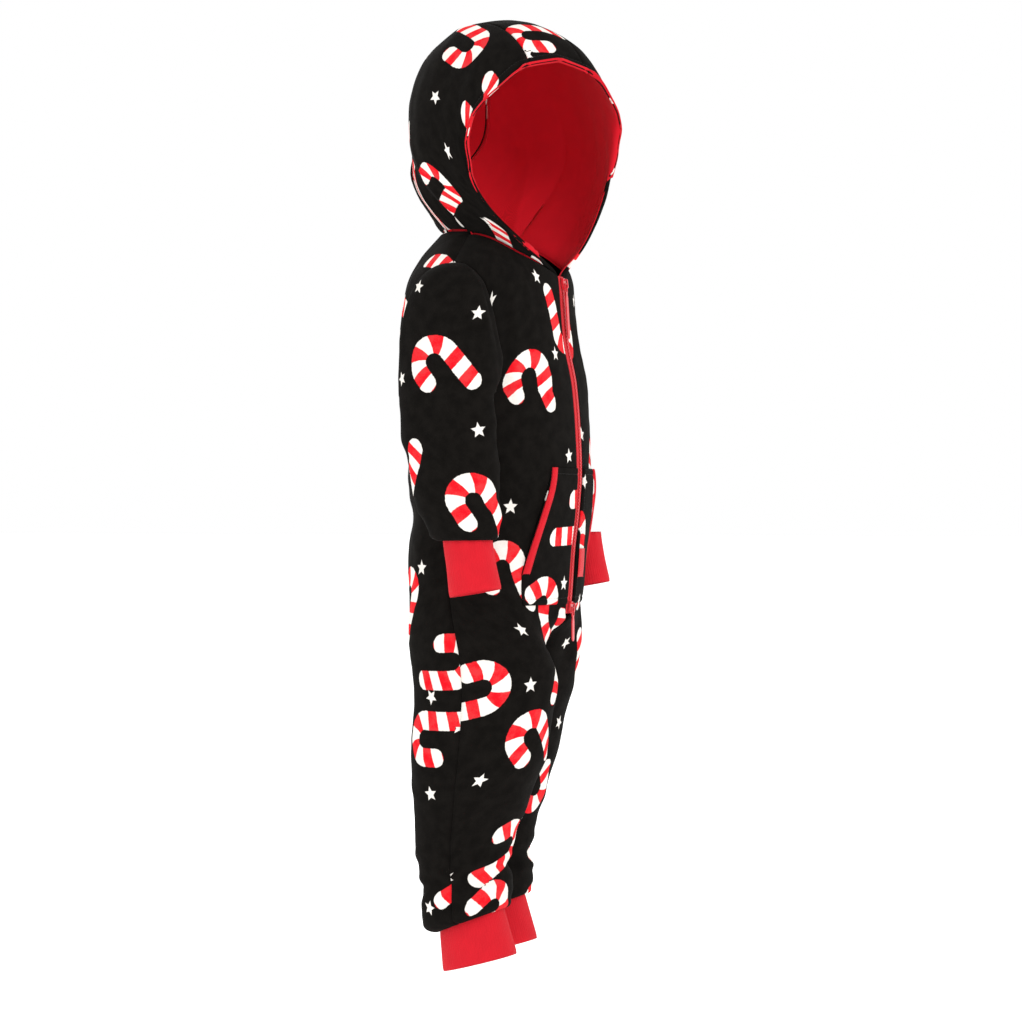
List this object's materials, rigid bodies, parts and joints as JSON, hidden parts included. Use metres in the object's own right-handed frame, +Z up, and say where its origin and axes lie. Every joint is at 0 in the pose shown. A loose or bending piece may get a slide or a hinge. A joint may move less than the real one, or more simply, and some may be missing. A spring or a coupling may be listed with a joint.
{
  "type": "hooded onesie pajama",
  "caption": "Child's hooded one-piece pajama in black printed fleece with red rib cuffs, a full front zip, two front pockets and a red-lined hood, shaped as worn.",
  "frame": {"origin": "middle of the garment at the height of the shoulder seams, where the wearer's shoulders hold it up (mount shoulders)", "axes": "+Z up along the standing garment, -Y towards the zip and the front, -X towards the wearer's right"},
  "size_m": [0.4386, 0.2422, 1.0709],
  "materials": {
    "fleece": "soft matt fleece",
    "hood_lining": "smooth matt jersey",
    "rib_knit": "ribbed knit",
    "zip_tape": "woven tape",
    "zip_metal": "glossy enamel"
  },
  "bodies": {
    "garment": {"ankle_cuff_left": "rib_knit", "ankle_cuff_right": "rib_knit", "back_left": "fleece", "back_right": "fleece", "front_left": "fleece", "front_right": "fleece", "hood_centre": "fleece", "hood_left": "fleece", "hood_lining_centre": "hood_lining", "hood_lining_left": "hood_lining", "hood_lining_right": "hood_lining", "hood_right": "fleece", "label_tab": "zip_tape", "pocket_binding_left": "rib_knit", "pocket_binding_right": "rib_knit", "pocket_left": "fleece", "pocket_right": "fleece", "sleeve_left": "fleece", "sleeve_right": "fleece", "slider_bottom": "zip_metal", "slider_top": "zip_metal", "wrist_cuff_left": "rib_knit", "wrist_cuff_right": "rib_knit", "zip_tape_left": "zip_tape", "zip_tape_right": "zip_tape"},
    "pull_top": {"pull_top": "zip_metal"},
    "pull_bottom": {"pull_bottom": "zip_metal"}
  },
  "joints": [
    {"name": "pull_top_swing", "type": "hinge", "parent": "garment", "child": "pull_top", "pos_m": [0, -0.07907, -0.03153], "axis": [-1, 0, 0], "range_deg": [0, 150]},
    {"name": "pull_bottom_swing", "type": "hinge", "parent": "garment", "child": "pull_bottom", "pos_m": [0, -0.08742, -0.39537], "axis": [-1, 0, 0], "range_deg": [-4, 150]}
  ]
}
